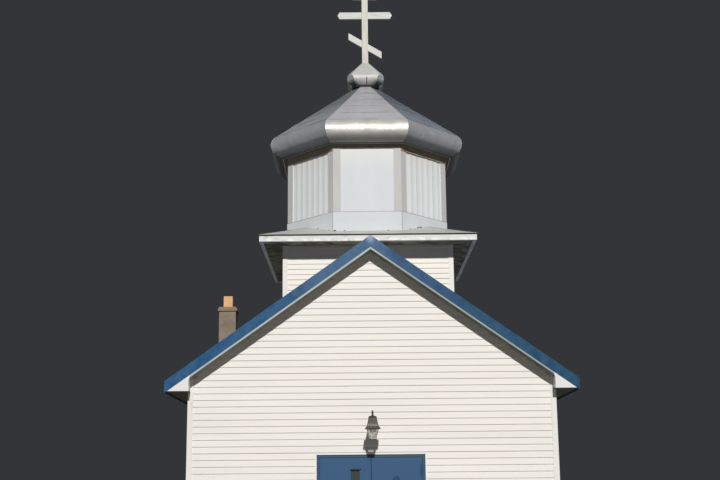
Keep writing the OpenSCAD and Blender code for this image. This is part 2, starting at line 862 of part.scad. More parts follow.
foundation();
floor();
front_wall_left();
front_wall_right();
front_gable();
rear_wall();
left_wall();
right_wall();
corner_boards();
roof_left();
roof_right();
ridge_cap();
front_rake_trim();
rear_rake_trim();
rake_fascias();
rake_soffits();
eave_trims();
eave_soffits();
eave_returns();
tower_front_wall();
tower_rear_wall();
tower_side_walls();
tower_corner_boards();
skirt_soffit();
skirt_fascia();
skirt_roof();
drum_walls();
drum_corner_boards();
drum_base_band();
dome_soffit();
dome();
cupola();
cross_post();
cross_bars();
chimney_shaft();
chimney_cap();
chimney_flue();
door_frame();
left_door();
right_door();
door_lite();
door_pull();
lantern_arm();
lantern_frame();
lantern_glass();
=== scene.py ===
import math
import random

import bmesh
import bpy
from mathutils import Matrix, Vector, noise


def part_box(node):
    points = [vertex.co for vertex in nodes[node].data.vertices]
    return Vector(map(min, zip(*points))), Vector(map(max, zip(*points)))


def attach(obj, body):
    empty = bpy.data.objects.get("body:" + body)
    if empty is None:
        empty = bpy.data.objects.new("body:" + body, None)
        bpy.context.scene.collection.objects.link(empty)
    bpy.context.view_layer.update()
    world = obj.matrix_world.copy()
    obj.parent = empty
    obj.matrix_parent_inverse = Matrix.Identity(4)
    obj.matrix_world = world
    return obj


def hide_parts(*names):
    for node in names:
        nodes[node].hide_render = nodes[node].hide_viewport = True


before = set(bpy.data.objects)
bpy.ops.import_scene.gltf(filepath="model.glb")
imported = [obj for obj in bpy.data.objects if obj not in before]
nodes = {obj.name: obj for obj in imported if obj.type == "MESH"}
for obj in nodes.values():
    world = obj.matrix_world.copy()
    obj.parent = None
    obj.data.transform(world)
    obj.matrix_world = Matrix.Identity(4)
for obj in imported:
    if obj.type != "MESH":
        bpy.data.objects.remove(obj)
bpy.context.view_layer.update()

# The photograph was taken 19 m in front of the door and at eye height, with the camera tipped up
# at the tower and held about half a degree out of level.
yaw, pitch, roll = 0.0026, 0.2035, -0.0094
eye = Vector((-0.238, -25.129, 1.6))
ahead = Vector((math.sin(yaw) * math.cos(pitch), math.cos(yaw) * math.cos(pitch), math.sin(pitch)))
level_side = Vector((math.cos(yaw), -math.sin(yaw), 0))
level_top = level_side.cross(ahead)
side = math.cos(roll) * level_side + math.sin(roll) * level_top
top = math.cos(roll) * level_top - math.sin(roll) * level_side
lens = bpy.data.cameras.new("photograph")
lens.sensor_width = 36
lens.lens = 55
lens.shift_y = 0.04
lens.clip_end = 400
camera = bpy.data.objects.new("photograph", lens)
camera.matrix_world = Matrix.Translation(eye) @ Matrix((side, top, -ahead)).transposed().to_4x4()
bpy.context.scene.collection.objects.link(camera)
bpy.context.scene.camera = camera
bpy.context.scene.view_settings.view_transform = "Standard"

# A studio of plain light: one key lamp high up and a little to the right of the front, an even dim
# surround, and a plain pale floor that fills the shadows.
key = bpy.data.lights.new("key", "SUN")
key.energy = 3.09
key.angle = math.radians(2)
key.color = (1.0, 0.985, 0.955)
lamp = bpy.data.objects.new("key", key)
key_turn, key_height = math.radians(4), math.radians(31.5)
to_key = Vector((math.sin(key_turn) * math.cos(key_height), -math.cos(key_turn) * math.cos(key_height),
                 math.sin(key_height)))
lamp.rotation_euler = to_key.to_track_quat("Z", "Y").to_euler()
bpy.context.scene.collection.objects.link(lamp)
surround = bpy.data.worlds.new("surround")
surround.use_nodes = True
glow = surround.node_tree.nodes["Background"].inputs
glow["Color"].default_value = (0.46, 0.49, 0.54, 1)
glow["Strength"].default_value = 0.072
bpy.context.scene.world = surround
bpy.ops.mesh.primitive_circle_add(vertices=96, radius=70, fill_type="NGON", location=(0, 0, -0.002))
studio_floor = bpy.context.object
studio_floor.name = "studio_floor"
floor_paint = bpy.data.materials.new("studio_floor")
floor_paint.use_nodes = True
floor_coat = floor_paint.node_tree.nodes["Principled BSDF"].inputs
floor_coat["Base Color"].default_value = (0.33, 0.33, 0.323, 1)
floor_coat["Roughness"].default_value = 0.9
studio_floor.data.materials.append(floor_paint)


# The foundation is a low cast-concrete base set a little way in under the walls. It has the marks of
# its form boards, a few air holes and damp stains low down.
class Shade:
    """A shader socket that adds, multiplies and compares as a number does."""

    def __init__(self, socket):
        self.socket = socket

    def node(self, kind, settings=None, inputs=None, output=0):
        """Adds a node of a type, with its settings made first and then its sockets fed."""
        made = self.socket.id_data.nodes.new("ShaderNode" + kind)
        for name, value in (settings or {}).items():
            setattr(made, name, value)
        for name, value in (inputs or {}).items():
            feed(value, made.inputs[name])
        return Shade(made.outputs[output])

    def math(self, operation, *values):
        return self.node("Math", {"operation": operation}, dict(enumerate(values)))

    def __add__(self, other):
        return self.math("ADD", self, other)

    def __sub__(self, other):
        return self.math("SUBTRACT", self, other)

    def __rsub__(self, other):
        return self.math("SUBTRACT", other, self)

    def __mul__(self, other):
        return self.math("MULTIPLY", self, other)

    def __truediv__(self, other):
        return self.math("DIVIDE", self, other)

    def __abs__(self):
        return self.math("ABSOLUTE", self)

    def __mod__(self, other):
        return self.math("FLOORED_MODULO", self, other)

    def __gt__(self, other):
        return self.math("GREATER_THAN", self, other)

    def __lt__(self, other):
        return self.math("LESS_THAN", self, other)

    __radd__ = __add__
    __rmul__ = __mul__

    def between(self, low, high):
        """0 at low and 1 at high, smooth in between."""
        return self.node("MapRange", {"interpolation_type": "SMOOTHSTEP"},
                         {"Value": self, "From Min": low, "From Max": high})

    def colour(self, low, high):
        """A colour that goes from low to high as this goes from 0 to 1."""
        return self.node("Mix", {"data_type": "RGBA"}, {0: self, 6: low, 7: high}, 2)

    def stretched(self, by):
        """This point with its three parts multiplied."""
        return self.node("VectorMath", {"operation": "MULTIPLY"}, {0: self, 1: by})

    def axis(self, name):
        """One part of this point."""
        return self.node("SeparateXYZ", None, {0: self}, name)

    def clouds(self, size, detail=3.0, rough=0.5):
        """Soft noise from 0 to 1, with spots of about this size in metres."""
        return self.node("TexNoise", None,
                         {"Vector": self, "Scale": 1 / size, "Detail": detail, "Roughness": rough})

    def by_board(self):
        """A chance tone from 0 to 1 for each board, where this counts the boards."""
        return self.node("TexWhiteNoise", {"noise_dimensions": "1D"}, {"W": self - self % 1})

    def relief(self, depth, coat):
        """Uses this as the height of a fine relief on a coat, of a depth in metres."""
        bump = self.node("Bump", None, {"Strength": 1.0, "Distance": depth, "Height": self})
        feed(bump, coat["Normal"])


def feed(value, socket):
    """Links a shade to a socket, or sets the socket to a plain value."""
    if isinstance(value, Shade):
        value.socket.id_data.links.new(value.socket, socket)
    else:
        socket.default_value = value


def paint(red, green, blue):
    """A screen colour from 0 to 255 as the light that it gives back."""
    parts = [value / 255 for value in (red, green, blue)]
    return tuple(p / 12.92 if p <= 0.04045 else ((p + 0.055) / 1.055) ** 2.4 for p in parts) + (1.0,)


def finish(name, roughness=0.5, metallic=0.0):
    """A new finish: the material, the sockets of its coat, and the point on the piece in metres."""
    material = bpy.data.materials.new(name)
    material.use_nodes = True
    coat = material.node_tree.nodes["Principled BSDF"].inputs
    feed(roughness, coat["Roughness"])
    feed(metallic, coat["Metallic"])
    point = Shade(material.node_tree.nodes.new("ShaderNodeTexCoord").outputs["Object"])
    return material, coat, point


def dress(material, *names):
    """Gives CAD nodes their finish."""
    for name in names:
        nodes[name].data.materials.clear()
        nodes[name].data.materials.append(material)


concrete, coat, point = finish("cast_concrete", 0.9)
stain = point.clouds(0.35, 5.0) * 0.7 + point.axis("Z").between(0.12, 0.0) * 0.4
feed(stain.colour(paint(172, 168, 160), paint(120, 116, 106)), coat["Base Color"])
pits = point.clouds(0.012, 2.0).between(0.30, 0.42)
(pits * 0.3 + point.clouds(0.06, 4.0)).relief(0.004, coat)
dress(concrete, "foundation")


# The hall's floor is laid with tongued planks, nailed to the joists and varnished. Their end joints
# are staggered, and the boards take the place of the one plain slab.
def oblong(left, right, foot, top):
    """The four corners of an oblong."""
    return [(left, foot), (right, foot), (right, top), (left, top)]


class Stock:
    """Closed forms in metres, gathered to be made up as one piece."""

    def __init__(self):
        self.points = []
        self.faces = []

    def loft(self, rings):
        """Skins rings of equally many points, one to the next, and closes both ends."""
        count = len(rings[0])
        first = len(self.points)
        self.points += [Vector(p) for ring in rings for p in ring]
        for foot in range(first, first + count * (len(rings) - 1), count):
            for i in range(count):
                j = (i + 1) % count
                self.faces.append((foot + i, foot + j, foot + count + j, foot + count + i))
        self.faces.append(tuple(range(first, first + count)))
        self.faces.append(tuple(range(len(self.points) - count, len(self.points))))

    def prism(self, outline, axis, start, end):
        """An outline drawn across the axis y or z, drawn out along it."""
        turn = {"y": (0, 2, 1), "z": (0, 1, 2)}[axis]
        self.loft([[[(a, b, reach)[i] for i in turn] for a, b in outline] for reach in (start, end)])

    def box(self, low, high):
        """A block between two corners."""
        self.prism(oblong(low[0], high[0], low[1], high[1]), "z", low[2], high[2])

    def turned(self, outline, centre, sides):
        """A round form about an upright axis, given by its radii and heights."""
        around = [(math.cos(i / sides * math.tau), math.sin(i / sides * math.tau)) for i in range(sides)]
        self.loft([[(centre[0] + r * c, centre[1] + r * s, centre[2] + z) for c, s in around]
                   for r, z in outline])

    def add(self, other, matrix):
        """Puts in a moved copy of other stock."""
        first = len(self.points)
        self.points += [matrix @ p for p in other.points]
        self.faces += [tuple(first + i for i in face) for face in other.faces]

    def turn_in(self, other, *eighths):
        """Puts in copies of other stock, turned by eighths about the tower's upright middle."""
        for eighth in eighths:
            self.add(other, Matrix.Rotation(eighth * math.pi / 4, 4, "Z"))

    def piece(self, name, material, slot, body="building", soften=0.0, sharp=30):
        """Makes the stock up as one piece that rides on a body."""
        mesh = bpy.data.meshes.new(name)
        mesh.from_pydata(self.points, [], self.faces)
        shape = bmesh.new()
        shape.from_mesh(mesh)
        bmesh.ops.recalc_face_normals(shape, faces=shape.faces)
        shape.to_mesh(mesh)
        shape.free()
        mesh.materials.append(material)
        mesh.shade_smooth()
        mesh.set_sharp_from_angle(angle=math.radians(sharp))
        made = bpy.data.objects.new(name, mesh)
        bpy.context.scene.collection.objects.link(made)
        if soften:
            edge = made.modifiers.new("soft_edges", "BEVEL")
            edge.width = soften
            edge.segments = 2
            edge.harden_normals = True
        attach(made, body)
        return made


chance = random.Random(7)
low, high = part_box("floor")
boards = Stock()
plank_w = 0.118
plank_gap = 0.0015
row = 0
while low.x + row * plank_w < high.x:
    left = low.x + row * plank_w
    right = min(left + plank_w - plank_gap, high.x)
    start = low.y
    end = low.y + chance.uniform(0.8, 3.4)
    while start < high.y:
        end = min(end, high.y)
        boards.box((left, start, low.z), (right, end - 0.001, high.z))
        start, end = end, end + chance.uniform(2.4, 3.6)
    row += 1
varnish, coat, point = finish("varnished_planks", 0.42)
grain = point.stretched((14, 0.8, 14)).clouds(0.9, 6.0, 0.65)
tone = ((point.axis("X") - low.x) / plank_w).by_board()
feed((grain * 0.7 + tone * 0.4).colour(paint(168, 134, 96), paint(112, 82, 55)), coat["Base Color"])
grain.relief(0.0008, coat)
laid = boards.piece("floor_boards", varnish, "plank_floor", soften=plank_gap)
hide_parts("floor")
dress(varnish, "floor")

# The walls are timber frames, boarded inside and painted. Outside they carry courses of lapped
# siding in a warm white, each lower edge standing out and throwing a thin line of shadow.
lining, coat, point = finish("wall_lining", 0.7)
lining_w = 0.14
joint = (point.axis("Z") % lining_w) < 0.004
dull = joint * 0.5 + point.clouds(0.8, 4.0) * 0.3
feed(dull.colour(paint(214, 208, 197), paint(168, 160, 146)), coat["Base Color"])
dress(lining, "front_wall_left", "front_wall_right", "front_gable", "rear_wall", "left_wall", "right_wall",
      "tower_front_wall", "tower_rear_wall", "tower_side_walls")
roof_slope = math.tan(math.radians(35.5))
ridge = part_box("front_rake_trim")[1].z
soffit_drop = 0.248
gable_top = ridge - soffit_drop
wall_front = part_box("front_gable")[0].y
wall_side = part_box("right_wall")[1].x
wall_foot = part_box("right_wall")[0].z
board_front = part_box("corner_boards")[0].y
board_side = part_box("corner_boards")[1].x
board_leg = 0.095
eave_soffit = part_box("eave_soffits")[0].z
course_h = 0.1143
first_course = 1.9874
butt, head = 0.018, 0.006
siding_l = 3.62


def lap(stock, place, span, low, high, first, seed):
    """Siding courses on a wall between two heights. place gives a point from the distance along
    the wall, the height and the distance out. span gives the two ends of a course at a height,
    and seed fixes where its sheets join."""
    number = math.floor((low - first) / course_h)
    while first + number * course_h < high - 0.001:
        foot = first + number * course_h
        z0, z1 = max(low, foot), min(high, foot + course_h)
        number += 1
        foot_ends, top_ends = span(z0), span(z1)
        if z1 - z0 < 0.002 or foot_ends[1] - foot_ends[0] < 0.02:
            continue
        lot = random.Random(seed * 1000 + number // 2)
        joints = []
        reach = foot_ends[0] + lot.uniform(0.4, 3.6)
        while reach < foot_ends[1] - 0.3:
            joints.append(reach)
            reach += siding_l
        feet = [foot_ends[0], *joints, foot_ends[1]]
        tops = [top_ends[0], *(min(max(u, top_ends[0]), top_ends[1]) for u in joints), top_ends[1]]
        lip = min(z0 + 0.006, z1)
        for i in range(len(joints) + 1):
            sheet = 0.0012 * (i % 2)
            out0, out1 = (butt - (butt - head) * (z - foot) / course_h + sheet for z in (z0, z1))
            section = ((0, z0, 0), (0, z0, out0 - 0.003), (0, lip, out0), (1, z1, out1), (1, z1, 0))
            stock.loft([[place((feet, tops)[upper][stop], z, out) for upper, z, out in section]
                        for stop in (i, i + 1)])


def facing(axis, way, wall):
    """How lap places its courses on a wall that faces along x or y."""
    if axis == "x":
        return lambda u, z, out: (way * (wall + out), u, z)
    return lambda u, z, out: (u, way * (wall + out), z)


def gable_span(z):
    """The two ends of a course between the corner boards, or under the sloping soffits."""
    half = min(board_side - board_leg, (gable_top - z) / roof_slope)
    return -half, half


siding_white, coat, point = finish("lapped_siding", 0.5)
drift = point.stretched((0.35, 0.35, 2.2)).clouds(0.9, 4.0)
splash = point.axis("Z").between(0.75, 0.15) * point.clouds(0.25, 4.0)
batch = ((point.axis("Z") - first_course) / course_h).by_board()
tint = batch * 0.5 + point.stretched((0.5, 0.5, 2)).clouds(0.7, 2.0) * 0.5
fresh = tint.colour(paint(237, 234, 226), paint(235, 230, 229))
feed((drift * 0.35 + splash * 0.8).colour(fresh, paint(202, 196, 184)), coat["Base Color"])
grain = point.stretched((1, 1, 9)).clouds(0.05, 3.0)
(grain + point.stretched((1, 1, 3)).clouds(0.9, 1.0) * 3.0).relief(0.0012, coat)
frame_low, frame_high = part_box("door_frame")
channel = 0.030
over_door = frame_high.z + channel
front = Stock()
on_front = facing("y", -1, -wall_front)
lap(front, on_front, lambda z: (gable_span(z)[0], frame_low.x - channel), wall_foot, over_door,
    first_course, 1)
lap(front, on_front, lambda z: (frame_high.x + channel, gable_span(z)[1]), wall_foot, over_door,
    first_course, 2)
lap(front, on_front, gable_span, over_door, gable_top, first_course, 3)
front.piece("front_siding", siding_white, "siding")
rear = Stock()
lap(rear, facing("y", 1, -wall_front), gable_span, wall_foot, gable_top, first_course, 4)
rear.piece("rear_siding", siding_white, "siding")
flank_end = -board_front - board_leg
for name, way, seed in (("left_siding", -1, 5), ("right_siding", 1, 6)):
    flank = Stock()
    lap(flank, facing("x", way, wall_side), lambda z: (-flank_end, flank_end), wall_foot, eave_soffit,
        first_course, seed)
    flank.piece(name, siding_white, "siding")


# White boards in an L cover the corners of the hall and of the tower. The fascias, the boxed ends of
# the eaves and the tower's eave are white too, and each has weathered to a tint of its own. The gable
# fascias carry a painted shadow along their lower edge, and the tower's eave a painted glint.
def plain(name, colour, roughness, metallic=0.0, gloss=0.5):
    """A finish of one even colour."""
    material, coat = finish(name, roughness, metallic)[:2]
    feed(colour, coat["Base Color"])
    feed(gloss, coat["Specular IOR Level"])
    return material


white, coat, point = finish("white_trim", 0.45)
wear = point.stretched((1, 1, 0.25)).clouds(0.12, 5.0).between(0.58, 0.8)
dull = wear * 0.5 + point.clouds(1.1, 3.0) * 0.25
feed(dull.colour(paint(240, 238, 233), paint(196, 190, 178)), coat["Base Color"])
point.stretched((20, 20, 1)).clouds(0.35, 3.0).relief(0.0006, coat)
dress(white, "corner_boards")
eave_white, coat, point = finish("eave_white", 0.5)
dirt = point.stretched((0.4, 0.4, 1)).clouds(0.07, 5.0).between(0.52, 0.75) * 0.5
soil_and_shade = dirt.colour(paint(224, 225, 222), paint(150, 146, 134))
# Patches along the eave's lower edge are painted pure white: a painted highlight, as of light glinting.
painted_glint = point.axis("Z").between(7.0, 6.955) * point.clouds(0.2, 3.0).between(0.42, 0.6) * 0.75
feed(painted_glint.colour(soil_and_shade, paint(255, 255, 255)), coat["Base Color"])
dress(eave_white, "skirt_fascia")
return_white = paint(232, 229, 232)
fascia_paint, coat, point = finish("fascia_paint", 0.45)
right_hand = point.axis("X").between(-0.2, 0.4)
lighter_tone = right_hand.colour(paint(190, 204, 210), paint(168, 184, 190))
dull = right_hand.colour(paint(150, 162, 168), paint(132, 146, 150))
weathered = point.stretched((1, 1, 0.4)).clouds(0.3, 4.0).colour(lighter_tone, dull)
# The fascia's lowest strip is painted dark, darker on the right: a painted shadow under the drip edge.
shadow_band = right_hand.colour(paint(80, 84, 74), paint(58, 64, 56))
beside_ridge = abs(point.axis("X"))
under_edge = beside_ridge * roof_slope + point.axis("Z") - right_hand * 0.008 < ridge - 0.246
feed((beside_ridge > 3.14).colour(under_edge.colour(weathered, shadow_band), return_white), coat["Base Color"])
dress(fascia_paint, "rake_fascias")
dress(plain("return_paint", return_white, 0.45), "eave_returns")
tower_white, coat, point = finish("cool_white", 0.45)
feed(point.clouds(0.5, 4.0).colour(paint(250, 246, 240), paint(224, 221, 214)), coat["Base Color"])
dress(tower_white, "tower_corner_boards")

# The soffits are painted boards with fine gaps, seen dark in the shade of the roof's edges. Their
# colours are painted far darker than white boards as painted shade, and under the gable ends darkest
# along the fascia and on the right. Under the gable ends and the eaves they lie square to the wall,
# and round the tower along it.
# The soffit colours are painted shade: dark tones in place of white boards in shadow.
soffit_paint, coat, point = finish("soffit_paint", 0.75)
darkening = point.clouds(0.22, 5.0).between(0.35, 0.65)
feed(darkening.colour(paint(166, 162, 143), paint(98, 95, 76)), coat["Base Color"])
dress(soffit_paint, "skirt_soffit")
# The eave soffits are painted darker still: painted shade.
eave_paint, coat, point = finish("eave_soffit_paint", 0.8)
feed(point.clouds(0.3, 5.0).colour(paint(104, 101, 84), paint(60, 58, 46)), coat["Base Color"])
dress(eave_paint, "eave_soffits")
soffit_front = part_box("rake_soffits")[0].y
rake_paint, coat, point = finish("rake_soffit_paint", 0.75)
wallward = abs(point.axis("Y")).between(-soffit_front, -wall_front)
# Darkest along the fascia and on the right, lighter towards the wall: painted shade under the roof's edge.
tone = wallward * 0.78 + point.axis("X").between(0.6, -0.6) * 0.22 + (point.clouds(0.2, 5.0) - 0.5) * 0.9
feed(tone.colour(paint(54, 60, 50), paint(176, 171, 154)), coat["Base Color"])
dress(rake_paint, "rake_soffits")
rake_boards = Stock()
board_step = 0.102
board_gap = 0.005
rake_end = 3.155
for way in (-1, 1):
    for end in (-1, 1):
        x = 0.012
        while x < rake_end:
            section = oblong(x, min(x + board_step - board_gap, rake_end), 0, 0.003)
            rake_boards.loft([[(way * u, y, gable_top - roof_slope * u - drop) for u, drop in section]
                              for y in (end * (wall_front - 0.019), end * soffit_front)])
            x += board_step
rake_boards.piece("rake_soffit_boards", rake_paint, "soffit_white")
eave_boards = Stock()
trim_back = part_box("eave_soffits")[1].x
shaft_low, shaft_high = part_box("chimney_shaft")
chimney_room = (shaft_low.y - 0.012, shaft_high.y + 0.012)
for way in (-1, 1):
    x0, x1 = sorted((way * board_side, way * trim_back))
    y = soffit_front + 0.004
    while y < -soffit_front - 0.01:
        y1 = min(y + board_step - board_gap, -soffit_front)
        if way > 0 or y1 < chimney_room[0] or y > chimney_room[1]:
            eave_boards.box((x0, y, eave_soffit - 0.0025), (x1, y1, eave_soffit))
        y += board_step
eave_boards.piece("eave_soffit_boards", eave_paint, "soffit_white")

# The roof is a deck of planks, seen from inside the hall, under ribbed steel sheets in blue enamel.
# They run from the ridge to the eaves, are screwed down through the ribs and stop at the tower.
deck, coat, point = finish("roof_deck", 0.75)
deck_w = 0.14
seam = (point.axis("X") % deck_w) < 0.005
timber = point.stretched((8, 0.6, 8)).clouds(0.6, 5.0) * 0.8 + seam * 0.5
feed(timber.colour(paint(182, 150, 108), paint(104, 78, 52)), coat["Base Color"])
dress(deck, "roof_left", "roof_right")
enamel, coat, point = finish("blue_roofing")
chalk = point.stretched((0.5, 2.0, 0.5)).clouds(0.7, 5.0)
feed(chalk.colour(paint(50, 84, 126), paint(84, 110, 142)), coat["Base Color"])
feed(chalk * 0.25 + 0.32, coat["Roughness"])
roofing_under = 0.025
trim_flange = 0.060
roof_end = -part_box("front_rake_trim")[0].y - trim_flange
roof_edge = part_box("front_rake_trim")[1].x - trim_flange
tower_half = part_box("tower_corner_boards")[1].x
tower_leg = 0.105
rib_step = 0.2286
rib_count = int(2 * roof_end / rib_step)
rib = ((-0.028, 0.002), (-0.013, 0.019), (0.013, 0.019), (0.028, 0.002))
small_rib = ((-0.009, 0.002), (0, 0.006), (0.009, 0.002))
screw_step = 0.62
screw_head = ((0.008, -0.002), (0.008, 0.001), (0.0045, 0.0015), (0.0045, 0.0045))


def on_roof(way, x, y, above):
    """A point on a slope of the roof, this much above the deck."""
    return (way * x, y, ridge - roofing_under - roof_slope * x + above)


def run(way, y0, y1):
    """How far a strip of roofing reaches, from the ridge or the tower down to the eave."""
    beside_tower = y1 > -tower_half and y0 < tower_half
    beside_shaft = way < 0 and y1 > chimney_room[0] and y0 < chimney_room[1]
    upper = tower_half + 0.002 if beside_tower else 0.002
    lower = board_side - 0.002 if beside_shaft else roof_edge
    return upper, lower


def strip(stock, way, y, section, reach):
    """A strip of sheet on a slope of the roof, with a section across it."""
    stock.loft([[on_roof(way, x, y + u, h) for u, h in section] for x in reach])


for name, way in (("left_roofing", -1), ("right_roofing", 1)):
    sheets = Stock()
    screws = Stock()
    stops = sorted({-roof_end, -tower_half, tower_half, roof_end, *(chimney_room if way < 0 else ())})
    for y0, y1 in zip(stops, stops[1:]):
        strip(sheets, way, 0, oblong(y0, y1, 0, 0.003), run(way, y0 + 0.01, y1 - 0.01))
    for i in range(rib_count + 1):
        y = (i - rib_count / 2) * rib_step
        if abs(y) > roof_end - 0.03:
            continue
        upper, lower = run(way, y - 0.03, y + 0.03)
        strip(sheets, way, y, rib, (upper, lower))
        third = y + rib_step / 3
        if third <= roof_end - 0.02:
            strip(sheets, way, third, small_rib, run(way, third - 0.01, third + 0.01))
        x = lower - 0.08
        while x > upper:
            screws.turned(screw_head, on_roof(way, x, y, 0.019), 6)
            x -= screw_step
    sheets.piece(name, enamel, "blue_roofing")
    screws.piece(name + "_screws", enamel, "blue_roofing")
flashing = Stock()
over_ribs = (0.0185, 0.0205)
flange = 0.12
tower_face = tower_half - 0.021
flange_end = tower_half + flange
between_boards = tower_half - tower_leg - 0.002
for way in (-1, 1):
    for end in (-1, 1):
        for section, reach in ((oblong(0, 0.003, -0.002, 0.098), (0.001, between_boards)),
                               (oblong(0.003, flange, *over_ribs), (0.001, between_boards)),
                               (oblong(0.03, flange, *over_ribs), (between_boards, flange_end))):
            strip(flashing, way, end * tower_face, [(end * u, h) for u, h in section], reach)
    foot = on_roof(way, tower_half, 0, 0)[2]
    x0, x1 = sorted((way * tower_face, way * (tower_face + 0.003)))
    flashing.box((x0, -between_boards, foot), (x1, between_boards, foot + 0.10))
    flashing.loft([[on_roof(way, x, y, h) for x, h in oblong(tower_face + 0.003, flange_end, *over_ribs)]
                   for y in (-flange_end, flange_end)])
flashing.piece("tower_flashing", enamel, "blue_roofing")

# Folded sheet in a darker blue covers the gable's edges and the eaves, nailed through its face. The
# cap over the ridge is a paler, violet blue, partly weathered and partly a painted sheen, and the trim
# round the apex is painted paler as a painted sheen.
trim_blue, coat, point = finish("blue_trim")
fade = point.clouds(0.16, 5.0).between(0.25, 0.75)
across = point.axis("X")
blue = fade.colour(paint(42, 80, 118), paint(58, 92, 128))
blue = across.between(-1.0, -1.8).colour(blue, fade.colour(paint(36, 83, 126), paint(52, 95, 136)))
blue = across.between(0.9, 1.8).colour(blue, fade.colour(paint(28, 72, 106), paint(44, 84, 116)))
bleached = across.between(-1.45, -0.95) * across.between(0.42, 0.22)
blue = bleached.colour(blue, fade.colour(paint(60, 96, 134), paint(76, 108, 144)))
# Round the apex the trim is painted a pale violet blue: a painted sheen on the upturned metal.
apex_sheen = abs(across).between(0.11, 0.0) * point.axis("Z").between(ridge - 0.20, ridge - 0.02) * 0.9
feed(apex_sheen.colour(blue, paint(164, 182, 204)), coat["Base Color"])
feed(0.15, coat["Specular IOR Level"])
feed(fade * 0.2 + 0.3, coat["Roughness"])
point.clouds(0.5, 2.0).relief(0.004, coat)
dress(trim_blue, "front_rake_trim", "rear_rake_trim", "eave_trims")
ridge_paint, coat, point = finish("ridge_metal", 0.4)
# The cap's paler violet blue is partly its weathered colour and partly a painted sheen.
feed(point.clouds(0.3, 4.0).colour(paint(128, 138, 172), paint(160, 162, 184)), coat["Base Color"])
dress(ridge_paint, "ridge_cap")
nail = Stock()
nail.turned(((0.008, -0.001), (0.008, 0.0015), (0.004, 0.003)), (0, 0, 0), 8)
nails = Stock()
nail_step = 0.5
trim_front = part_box("front_rake_trim")[0].y
for way in (-1, 1):
    for i in range(7):
        x = (i + 0.5) * nail_step
        for drop in (0.045, 0.165):
            spot = Vector((way * x, trim_front, ridge - roof_slope * x - drop))
            nails.add(nail, Matrix.Translation(spot) @ Matrix.Rotation(math.radians(90), 4, "X"))
nails.piece("rake_trim_nails", plain("trim_nails", paint(40, 52, 74), 0.5), "blue_trim")

# The tower stands astride the ridge, with the same lapped siding as the hall. Its courses run down
# to the flashing on the roof and up to the boxed eave.
tower_wall_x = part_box("tower_side_walls")[1].x
tower_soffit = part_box("skirt_soffit")[0].z
tower_course = 6.291
tower_siding, coat, point = finish("tower_siding", 0.5)
drift = point.stretched((0.35, 0.35, 2.2)).clouds(0.8, 4.0) * 0.5
feed(drift.colour(paint(245, 239, 231), paint(214, 208, 198)), coat["Base Color"])
point.stretched((1, 1, 9)).clouds(0.05, 3.0).relief(0.001, coat)
peak = ridge - roofing_under + 0.10
clear = tower_half - tower_leg
on_roof_foot = peak - roof_slope * clear


def beside_roof(z):
    """Half the width that the roof takes from the tower's siding at a height."""
    return min(max(0.0, (peak - z) / roof_slope), clear)


for name, end in (("tower_front_siding", -1), ("tower_rear_siding", 1)):
    courses = Stock()
    place = facing("y", end, tower_wall_x)
    lap(courses, place, lambda z: (-clear, -beside_roof(z)), on_roof_foot, peak, tower_course, 11)
    lap(courses, place, lambda z: (beside_roof(z), clear), on_roof_foot, peak, tower_course, 12)
    lap(courses, place, lambda z: (-clear, clear), peak, tower_soffit, tower_course, 13)
    courses.piece(name, tower_siding, "tower_siding")
for name, way in (("tower_left_siding", -1), ("tower_right_siding", 1)):
    courses = Stock()
    lap(courses, facing("x", way, tower_wall_x), lambda z: (-clear, clear), peak - roof_slope * tower_half,
        tower_soffit, tower_course, 14)
    courses.piece(name, tower_siding, "tower_siding")

# A shallow skirt roof of pale painted sheet closes the step between the square tower and the drum. It
# has folded hips and a few dark specks of sealant where it meets the drum.
# The deck is painted dark grey where it shows in the gap under the sheets' edge: painted shade for that
# gap.
dress(plain("skirt_deck_shade", paint(100, 100, 94), 0.9), "skirt_roof")
skirt_paint, coat, point = finish("skirt_sheet", 0.5)
feed(point.clouds(0.3, 5.0).colour(paint(206, 210, 202), paint(164, 169, 160)), coat["Base Color"])
skirt_slope = math.tan(math.radians(21))
skirt_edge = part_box("skirt_roof")[1].x
skirt_eave = 7.085
band_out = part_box("drum_base_band")[1].x
band_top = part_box("drum_base_band")[1].z
face_half = math.tan(math.pi / 8)
lip = skirt_edge + 0.054
bend = band_out / math.sqrt(2)


def on_skirt(across, reach, above):
    """A point on the front slope of the skirt roof, this much above its deck."""
    return (across, -reach, skirt_eave + skirt_slope * (skirt_edge - reach) + above)


skirt_sheets = Stock()
sealant = Stock()
lot = random.Random(5)
edge = [(lip * (i / 14 - 1), lip) for i in range(29)]
back = [(bend, bend), (band_out * face_half, band_out), (-band_out * face_half, band_out), (-bend, bend)]
for turn in (0, 2, 4, 6):
    waves = [lot.uniform(0, 0.005) for _ in edge] + [0] * 4
    slope = Stock()
    slope.loft([[on_skirt(u, r, h + wave) for (u, r), wave in zip(edge + back, waves)]
                for h in (0.0005, 0.0035)])
    skirt_sheets.turn_in(slope, turn)
    specks = Stock()
    for _ in range(9):
        u = lot.uniform(-0.98, 0.98) * bend
        r = band_out if abs(u) < band_out * face_half else band_out * math.sqrt(2) - abs(u)
        size = lot.uniform(0.010, 0.022)
        spot = on_skirt(u, r + size * 0.5, 0.002)
        specks.turned(((size * 1.6, 0), (size * 1.3, size * 0.6), (size * 0.4, size)), spot, 7)
    sealant.turn_in(specks, turn)
skirt_sheets.piece("skirt_sheets", skirt_paint, "skirt_roofing", sharp=20)
mastic = plain("sealant", paint(92, 90, 80), 0.6)
sealant.piece("skirt_sealant", mastic, "skirt_roofing", sharp=60)
fold = ((0.05, 0, 0.002), (0, 0, 0.012), (0, 0.05, 0.002))
hip = Stock()
hip.loft([[(r - a, b - r, on_skirt(0, r, h)[2]) for a, b, h in fold] for r in (lip, bend + 0.05)])
hips = Stock()
